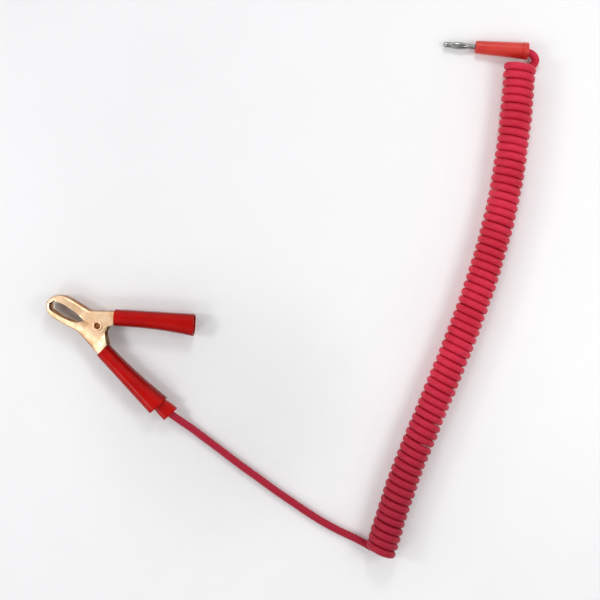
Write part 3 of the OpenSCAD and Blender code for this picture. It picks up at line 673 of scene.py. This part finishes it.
def solid(name, grid_mm):
    """A closed solid through rings in mm. Its ends are strips between the points k and last but k."""
    n = grid_mm.shape[1]
    points, faces, _ = skin(grid_mm * MM)
    first = [[k, n - 1 - k, n - 2 - k, k + 1] for k in range(n // 2 - 1)]
    far = (len(grid_mm) - 1) * n
    last = [[far + q for q in face[::-1]] for face in first]
    made = piece(name, (points, faces + first + last))
    form = bmesh.new()
    form.from_mesh(made.data)
    bmesh.ops.recalc_face_normals(form, faces=form.faces)
    form.to_mesh(made.data)
    form.free()
    return made


def prism(name, outline):
    """An outline in mm carried straight up, from well below the clip to well above it."""
    grid = np.stack([np.column_stack([outline, np.full(len(outline), z)]) for z in (-6.0, 20.0)])
    return piece(name, skin(grid * MM, capped=True))


def arc(radius, start, end, count=33):
    """Points in mm of an arc about the pivot, between two angles in degrees."""
    a = np.radians(np.linspace(start, end, count))
    return radius * np.column_stack([np.cos(a), np.sin(a)])


def carve(thing, cutter, operation):
    """The thing without the cutter, for DIFFERENCE, or only what both share, for INTERSECT."""
    tool = thing.modifiers.new("carve", "BOOLEAN")
    tool.operation = operation
    tool.solver = "EXACT"
    tool.object = cutter
    carved = bpy.data.meshes.new_from_object(thing.evaluated_get(bpy.context.evaluated_depsgraph_get()))
    thing.modifiers.remove(tool)
    thing.data = carved
    bpy.data.objects.remove(cutter)


def blanked(name, rings_mm, outline, mouth_line):
    """A channel cut to its blank's outline, with its mouth and rivet hole, and its edges just broken."""
    made = solid(name, rings_mm)
    carve(made, prism("blank", outline), "INTERSECT")
    carve(made, prism("mouth", mouth_line), "DIFFERENCE")
    carve(made, prism("bore", arc(bore_r, 0, 352.5, 48)), "DIFFERENCE")
    form = bmesh.new()
    form.from_mesh(made.data)
    bmesh.ops.remove_doubles(form, verts=form.verts, dist=3e-6)
    bmesh.ops.dissolve_degenerate(form, edges=form.edges, dist=3e-6)
    bmesh.ops.dissolve_limit(form, angle_limit=math.radians(0.4), verts=form.verts, edges=form.edges)
    form.to_mesh(made.data)
    form.free()
    made.data.polygons.foreach_set("use_smooth", [True] * len(made.data.polygons))
    edge = made.modifiers.new("broken_edge", "BEVEL")
    edge.width = 0.11 * MM
    edge.segments = 2
    edge.limit_method = "ANGLE"
    edge.angle_limit = math.radians(40)
    even = made.modifiers.new("even_shading", "WEIGHTED_NORMAL")
    even.keep_sharp = True
    made.data.materials.clear()
    made.data.materials.append(copper_finish)
    return made


def on_handle(places, slope):
    """Places along and across a handle, in mm, turned to its slope."""
    return [turned(s, h, slope) for s, h in places]


def cheek_depths(line, ear_x, ear_depth, stations, shape):
    """Rows of x and the cheeks' depth there: shallow at the tip, deep at the ears and narrow behind
    them. On the last five stations it is the grip's depth, less what the cheek leaves free."""
    return [[4 - jaw_reach, 4], [10 - jaw_reach, 5], [-13, jaw_rise + 1], [ear_x, ear_depth],
            [line[10, 0], ear_depth], [line[-6, 0], throat_depth]] + [
        [x, grip_depth(s, *shape) - cheek_back] for x, s in zip(line[-5:, 0], stations[-5:])]


def outline(mate, ear_r, ear_end, throat, rest):
    """A blank's outline: along the mating line to the ear, round it, up the throat and far past the
    rest. The ear starts where its circle meets the line, and ends at an angle in degrees."""
    ear_start = 180 + math.degrees(math.asin(-mate / ear_r))
    return np.vstack([[[-67, mate]], arc(ear_r, ear_start, ear_end), sampled(throat, 5), rest])


# The back lines of the jaws start at the tip. Their handles' stations are in mm from the pivot.
tip = np.array([-jaw_reach, mate_y])
upper_stations = [8.9, 9.2, 20, 31, 42, 53]
upper_line = np.vstack([
    tip + [[0, -1], [0.2, 1], [1.2, 3.7], [3.3, 6.1], [6.5, 7.5], [10.5, 7.9], [16.5, 7.6], [22, 7.1],
           [24.9, 7]],
    on_handle([[-2.5, 8.6], [3, 8.8]] + [[s, upper_back] for s in upper_stations], upper_slope)])
upper_halves = [[-12, outer_half - 0.3], [-9, outer_half]]
lower_stations = [6.5, 10, 12.2, 12.5, 22, 32, 43, 54]
lower_line = np.vstack([
    tip + [[-0.3, 1], [0, -1], [0.9, -3.4], [3, -5.6], [6, -6.7], [10.5, -7.1], [16.5, -7.4],
           [21, -7.5], [23.7, -7.7]],
    on_handle([[s, lower_back] for s in [-2] + lower_stations], -lower_slope)])
lower_halves = [[-13.5, outer_half - 0.3], [-8, inner_half], [lower_line[10, 0], inner_half],
                [lower_line[11, 0], outer_half]]

# The mouth is cut through both jaws. Its outline runs back in the upper jaw and forwards in the lower.
mouth_front = 1.8 - jaw_reach
mouth_top = sampled([[mouth_front + 3, 2.7], [mouth_front + 6.5, 3.3], [-21.5, 3.1], [-14, 2.1],
                     [-7.6, 0]], 8)
mouth_low = sampled([[-7.6, 0], [-13.2, -3.2], [-20.8, -4.3], [mouth_front + 6, -3.9],
                     [mouth_front + 2.3, -3.4], [mouth_front + 0.8, -2.2], [mouth_front, 0]], 8)
mouth_line = np.vstack([[[mouth_front + 0.6, 1.2], [mouth_front + 1.6, 2.9]], mouth_top,
                        mouth_low[1:]]) + [0, mate_y]

upper_outline = outline(mate_y + mate_gap, upper_ear_r, 371,
                        [[4.6, 0.9], [5.1, 1.9], [6.1, 3.1], turned(9.3, 1.3, upper_slope)],
                        [turned(106, -9, upper_slope), [53, 106], [-67, 106]])
lower_outline = outline(mate_y - mate_gap, lower_ear_r, -15.8,
                        [[5.3, -1.5], [6.9, -4], [8.9, -6.5], turned(12.6, -3.95, -lower_slope)],
                        [turned(108, 9, -lower_slope), [54, -108], [-67, -108]])
upper_depths = cheek_depths(upper_line, -9, 14, upper_stations, upper_shape)
lower_depths = cheek_depths(lower_line, -9.8, 17.65, lower_stations, lower_shape)
upper_jaw = blanked("upper_jaw_channel", channel(upper_line, 10, -1, upper_depths, upper_halves),
                    upper_outline, mouth_line)
lower_jaw = blanked("lower_jaw_channel", channel(lower_line, 9, 1, lower_depths, lower_halves),
                    lower_outline, mouth_line)
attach(upper_jaw, "upper_lever")
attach(lower_jaw, "clip_base")
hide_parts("upper_jaw")
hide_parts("lower_jaw")

# Two claws, lanced from the back of the lower handle, are curled round the bared conductor.
claw_r = 1.18
claw_wall = 0.8
crimp_h = lower_back + sheet + claw_r


def claw(start, end):
    """Rings of one claw: a strip of sheet bent round the conductor's axis, open at its top."""
    inner = arc(claw_r, -158, 158)
    loop = np.vstack([inner, inner[::-1] * (claw_r + claw_wall) / claw_r])
    s = np.array([start, start + 0.15, end - 0.15, end])[:, None]
    tuck = np.array([0.94, 1, 1, 0.94])[:, None]
    return handle_place(s + 0 * loop[:, 0], crimp_h - tuck * loop[:, 0], clip_z + tuck * loop[:, 1],
                        -lower_slope)


def joined(grids):
    """Points and faces of several capped surfaces as one."""
    points, faces = [], []
    for grid in grids:
        more, its_faces, _ = skin(grid, capped=True)
        faces += [[q + len(points) for q in face] for face in its_faces]
        points += more.tolist()
    return points, faces


crimp = piece("crimp_claws", joined([claw(40, 42.2), claw(42.8, 45)]), copper_finish)
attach(crimp, "clip_base")


# ---- The pivot rivet ----
# A tubular steel rivet, plated with the clip, holds the four ears together. Its factory head is below,
# and its upper end is rolled outwards into a ring round a hollow.
def lathe(profile, around, place):
    """A surface of revolution. The profile lists radii and distances along the axis, and place turns
    arrays of distances across, up and along into points."""
    profile = np.asarray(profile, float)
    a = 2 * math.pi * np.arange(around)[None] / around
    return place(profile[:, :1] * np.cos(a), profile[:, :1] * np.sin(a), profile[:, 1:] + 0 * a)


def upright(x, y, z):
    """The pivot's own place: its axis stands up from the origin."""
    return np.stack([x, y, z], -1) * MM


roll = np.radians(np.linspace(-10, 190, 19))
rivet_profile = [[0.02, 0.0], [2.2, 0.0], [2.62, 0.12], [2.9, 0.42], [3.0, 0.78], [2.98, 1.08],
                 [2.9, 1.15], [2.2, 1.16], [2.2, 13.24], [2.96, 13.25]]
rivet_profile += [[2.36 + 0.62 * math.cos(a), 13.5 + 0.82 * math.sin(a)] for a in roll]
rivet_profile += [[1.73, 13.2], [1.7, 12.6], [1.62, 11.2], [1.4, 10.7], [0.9, 10.45], [0.02, 10.4]]
rivet = piece("rolled_rivet", skin(lathe(rivet_profile, 56, upright), capped=True), copper_finish,
              sharp=50)
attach(rivet, "clip_base")
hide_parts("pivot_rivet")


# ---- The torsion spring ----
# Hard-drawn steel wire, wound four times round the rivet between the ears. A leg at each end lies along
# the inside of a handle, so the coil winds up as the handles are pressed together.
wire_steel = Finish("spring_wire", Metallic=1.0)
wire_cloud = wire_steel.noise(0.6, 3.0, where=wire_steel.place((900.0, 900.0, 900.0)))
wire_drawn = wire_steel.noise(1.0, 3.0, where=wire_steel.place((10.0, 60.0, 1.0), source="UV"))
wire_finish = wire_steel.done(
    Base_Color=wire_steel.mix(wire_cloud, (0.40, 0.395, 0.38), (0.56, 0.55, 0.53)),
    Roughness=0.26 + wire_drawn * 0.16,
    Normal=wire_steel.bump(wire_drawn, 0.00002, 0.5))

spring_r = 3.0
spring_pitch = 1.5
wire_r = 0.5 * MM
leg_at = 16
toe_l = 4
lower_touch = np.array(turned(leg_at, -10.2, -lower_slope))
upper_touch = np.array(turned(leg_at, 7.55, upper_slope))


def leaves_at(touch, way):
    """Angle in degrees where a straight leg to the point touch leaves the coil as a tangent."""
    return math.degrees(math.atan2(touch[1], touch[0])) + way * math.degrees(
        math.acos(spring_r / np.hypot(*touch)))


# The wire turns from the lower handle's leg to the upper one's, four turns on and rising evenly. The
# legs are eased into the coil by a running mean.
wind = np.radians(np.linspace(leaves_at(lower_touch, -1) + 360, leaves_at(upper_touch, 1) - 1440, 170))
wind_rise = spring_pitch * (wind[0] - wind[-1]) / (2 * math.pi)
wind_z = clip_z + wind_rise * (np.linspace(0, 1, len(wind)) - 0.5)
wound = np.column_stack([spring_r * np.cos(wind), spring_r * np.sin(wind), wind_z])
legs = []
for touch, slope, z in ((lower_touch, -lower_slope, wind_z[0]), (upper_touch, upper_slope, wind_z[-1])):
    toe = touch + toe_l * np.array([math.cos(slope), math.sin(slope)])
    legs.append([[*toe, z], [*touch, z]])
corners = np.vstack([legs[0], wound, legs[1][::-1]])
walked = distances(corners)
steps = np.linspace(0, walked[-1], 460)
spring_line = between(steps, walked, corners)
eased = np.column_stack([np.convolve(np.pad(spring_line[:, q], 4, mode="reflect", reflect_type="odd"),
                                     np.ones(9) / 9, mode="valid") for q in range(3)])
legs_only = (np.hypot(*spring_line[:, :2].T) > spring_r + 2)[:, None]
spring_line = np.where(legs_only, eased, spring_line) * MM
torsion_spring = piece("wound_spring", skin(rings(spring_line, up, wire_r, 12), capped=True),
                       wire_finish, wrapped=True)
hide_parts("torsion_spring")
(wind_z[0] + 0.6) * MM
(wind_z[-1] - 0.6) * MM
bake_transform(torsion_spring)


# ---- The bared conductor in the clip ----
# Inside the lower grip the cord's jacket is stripped back, and its seven bare copper strands run twisted
# together into the crimp.
strand_copper = Finish("bare_copper", Metallic=1.0)
strand_cloud = strand_copper.noise(700.0, 3.0)
strand_finish = strand_copper.done(
    Base_Color=strand_copper.mix(strand_cloud, (0.90, 0.52, 0.34), (0.78, 0.38, 0.22)),
    Roughness=0.24 + strand_cloud * 0.2)
strand_r = 0.36 * MM
strand_lay = 9 * MM
lead_ahead = heading(lead_line)[0]
conductor_route = np.vstack([handle_place(np.array([38.5, 45, 46]), crimp_h, clip_z, -lower_slope),
                             lead_line[0] - 0.8 * MM * lead_ahead, lead_line[0] + 0.5 * MM * lead_ahead])
conductor_line = sampled(conductor_route, 14)
conductor_side, conductor_top = square_to(heading(conductor_line), up)
conductor_s = distances(conductor_line)
strands = []
for strand in range(7):
    twist = (conductor_s / strand_lay * 2 * math.pi + strand * math.pi / 3)[:, None]
    off = 0 if strand == 6 else 0.7 * MM
    middle = conductor_line + off * (np.cos(twist) * conductor_side + np.sin(twist) * conductor_top)
    strands.append(rings(middle, up, strand_r, 8))
conductor = piece("twisted_conductor", joined(strands), strand_finish)
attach(conductor, "clip_base")
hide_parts("clip_conductor")


# ---- The plug's pin and its sprung cage ----
# The pin is turned from brass and nickel-plated: a round nose, a waist and a plain stem that runs into
# the handle. A rolled cage of four bowed leaves sits round the waist and presses on the socket's wall.
pin_r = 1.65
collar_r = 1.56
collar_bore = 1.19
leaf_start = 5.38
leaf_l = 8.64
leaf_bow = 0.56
leaf_wall = 0.25
leaf_edge = 0.06
plug_side, plug_top = square_to(plug_ahead, up)


def plug_place(x, y, s):
    """The place x across, y up and s along the plug from the tip of its pin, in mm."""
    return (on_plug(s[..., None]) + (x * MM)[..., None] * plug_side
            + (y * MM)[..., None] * plug_top)


nickel = Finish("nickel_plate", Metallic=1.0)
nickel_along = nickel.along(plug_ahead)
nickel_turning = nickel.node("TexNoise", {"noise_dimensions": "1D"},
                             {"W": nickel_along, "Scale": 9000.0, "Detail": 2.0})
nickel_cloud = nickel.noise(350.0, 3.0)
nickel_finish = nickel.done(
    Base_Color=nickel.mix(nickel_cloud, (0.40, 0.405, 0.385), (0.26, 0.262, 0.245)),
    Roughness=0.10 + nickel_cloud * 0.08 + nickel_turning * 0.06,
    Normal=nickel.bump(nickel_turning, 0.00001, 0.45))

nose = np.radians(np.linspace(2, 90, 12))
pin_profile = [[pin_r * math.sin(a), 0.9 * pin_r * (1 - math.cos(a))] for a in nose]
pin_profile += [[pin_r, 3.85], [1.6, 4.05], [1.5, 4.18], [1.15, 4.2], [1.15, 15.2], [1.45, 15.2],
                [1.55, 15.3], [1.55, 19.0], [1.5, 19.15], [1.4, 19.2], [1.4, 23.9], [2.5, 23.9],
                [2.5, 25.9], [1.3, 25.9], [1.3, 29.9], [0.6, 29.9], [0.6, 27.4], [0.02, 27.4]]
pin = piece("plug_pin_turned", skin(lathe(pin_profile, 48, plug_place), capped=True), nickel_finish,
            sharp=40)
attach(pin, "clip_base")
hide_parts("plug_pin")


def leaf(start, end):
    """One bowed leaf between two angles. Its section is an arc of the cage's wall, and its radius
    swells from the collar to the middle of the bow by the sine of the way along, to the power 0.8."""
    t = np.linspace(0, 1, 25)[:, None]
    radius = collar_r + leaf_bow * np.sin(math.pi * t) ** 0.8
    a = np.radians(np.linspace(start, end, 11))[None]
    r = np.hstack([radius + 0 * a, radius - leaf_wall + 0 * a])
    r[:, [0, 10]] -= leaf_edge
    a = np.hstack([a, a[:, ::-1]])
    return plug_place(r * np.cos(a), r * np.sin(a), leaf_start + leaf_l * t + 0 * a)


def rolled_collar(start, end):
    """The cage's plain collar: a thin tube, open by a hair where its strip was rolled together."""
    a = np.radians(np.linspace(47, 403, 41))[None]
    a = np.hstack([a, a[:, ::-1]])
    s = np.array([start, start + 0.05, end - 0.05, end])[:, None] + 0 * a
    r = np.repeat([[collar_r, collar_bore]], 41, 1) * np.array([0.985, 1, 1, 0.985])[:, None]
    return plug_place(r * np.cos(a), r * np.sin(a), s)


parts = [leaf(90 * q + 8, 90 * q + 82) for q in range(4)]
parts += [rolled_collar(4.25, 5.45), rolled_collar(13.95, 15.15)]
cage = piece("plug_leaf_cage", joined(parts), nickel_finish, sharp=40)
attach(cage, "clip_base")
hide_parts("plug_spring")


# ---- The plug's handle ----
# A moulded tapering barrel of glossy red plastic with a rounded front edge, a fine groove and a collar
# at its rear. It is hollow for the resistor, and the cord enters through the collar.
moulded = Finish("moulded_red", IOR=1.5, Specular_IOR_Level=0.35, Coat_Roughness=0.3)
moulded_cloud = moulded.noise(90.0, 2.0)
moulded_skin = moulded.noise(1500.0, 2.0)
moulded_rub = moulded.range(moulded.noise(420.0, 4.0, 0.7), 0.62, 0.78)
moulded_colour = moulded.mix(moulded.range(moulded_cloud, 0.3, 0.7), (0.56, 0.024, 0.015),
                             (0.64, 0.034, 0.021))
moulded_finish = moulded.done(
    Base_Color=moulded.mix(moulded_rub * 0.3, moulded_colour, (0.72, 0.13, 0.09)),
    Roughness=0.34 + moulded_cloud * 0.1 + moulded_rub * 0.1,
    Coat_Weight=0.2 - moulded_rub * 0.15,
    Normal=moulded.bump(moulded_skin, 0.00003, 0.4))
front = np.radians(np.linspace(0, 90, 8))
handle_profile = [[1.46, 19.46], [1.56, 19.4]]
handle_profile += [[2.95 + 0.8 * math.sin(a), 20.2 - 0.8 * math.cos(a)] for a in front]
handle_profile += [[3.75 + t, 20.2 + 26.9 * t] for t in np.linspace(0, 1, 9)[1:-1]]
handle_profile += [[4.74, 47.0], [4.74, 47.1], [4.55, 47.22], [4.5, 47.36], [4.62, 47.42], [4.86, 47.44],
                   [4.97, 47.52], [plug_r, 47.66], [plug_r, 50.45], [4.93, 50.62], [4.76, plug_mm],
                   [3.6, plug_mm], [3.4, 50.62], [3.2, 50.2], [2.6, 47.4], [2.35, 46.8], [2.35, 42.9],
                   [2.6, 42.9], [2.6, 23.85], [1.46, 23.85]]
handle = piece("plug_barrel", skin(lathe(handle_profile, 64, plug_place), line_closed=True),
               moulded_finish, sharp=32)
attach(handle, "clip_base")
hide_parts("plug_handle")


# ---- Inside the handle ----
# A lacquered axial resistor under shrink tube joins the pin's solder cup to the cord through a crimped
# ferrule. These parts keep their own shapes and take their finishes here.
def refinish(node, finish):
    """A CAD node's own object takes the finish in place of its plain colour."""
    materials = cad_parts[node].data.materials
    materials.clear()
    materials.append(finish)


# The resistor's metal caps stand at either end of its beige body, which has a brown, a black, a green
# and a golden band.
caps, body = (0.62, 0.62, 0.60), (0.56, 0.40, 0.22)
lacquer = Finish("resistor_lacquer", IOR=1.5, Roughness=0.22)
lacquer_along = lacquer.along(plug_ahead) - float(on_plug(35.0) @ plug_ahead)
lacquer_finish = lacquer.done(
    Base_Color=lacquer.bands(
        lacquer_along / (10.0 * MM) + 0.5, (0.0, caps), (0.19, body), (0.27, (0.16, 0.05, 0.02)),
        (0.34, body), (0.41, (0.01, 0.01, 0.01)), (0.48, body), (0.55, (0.02, 0.22, 0.05)),
        (0.62, body), (0.70, (0.60, 0.42, 0.10)), (0.77, body), (0.83, caps)),
    Normal=lacquer.bump(lacquer.noise(1400.0), 0.00002, 0.4))
refinish("safety_resistor", lacquer_finish)

shrink = Finish("shrink_tube", IOR=1.45)
shrink_cloud = shrink.noise(500.0, 3.0)
shrink_finish = shrink.done(
    Base_Color=shrink.mix(shrink_cloud, (0.012, 0.012, 0.014), (0.035, 0.035, 0.038)),
    Roughness=0.5 + shrink_cloud * 0.2, Normal=shrink.bump(shrink_cloud, 0.0001, 0.5))
refinish("resistor_sleeve", shrink_finish)
refinish("splice_ferrule", nickel_finish)
refinish("plug_conductor", strand_finish)

sleeve_mouth = handle_place(sleeve_places[-1:, 0], sleeve_places[-1, 1], sleeve_z, -lower_slope)[0]
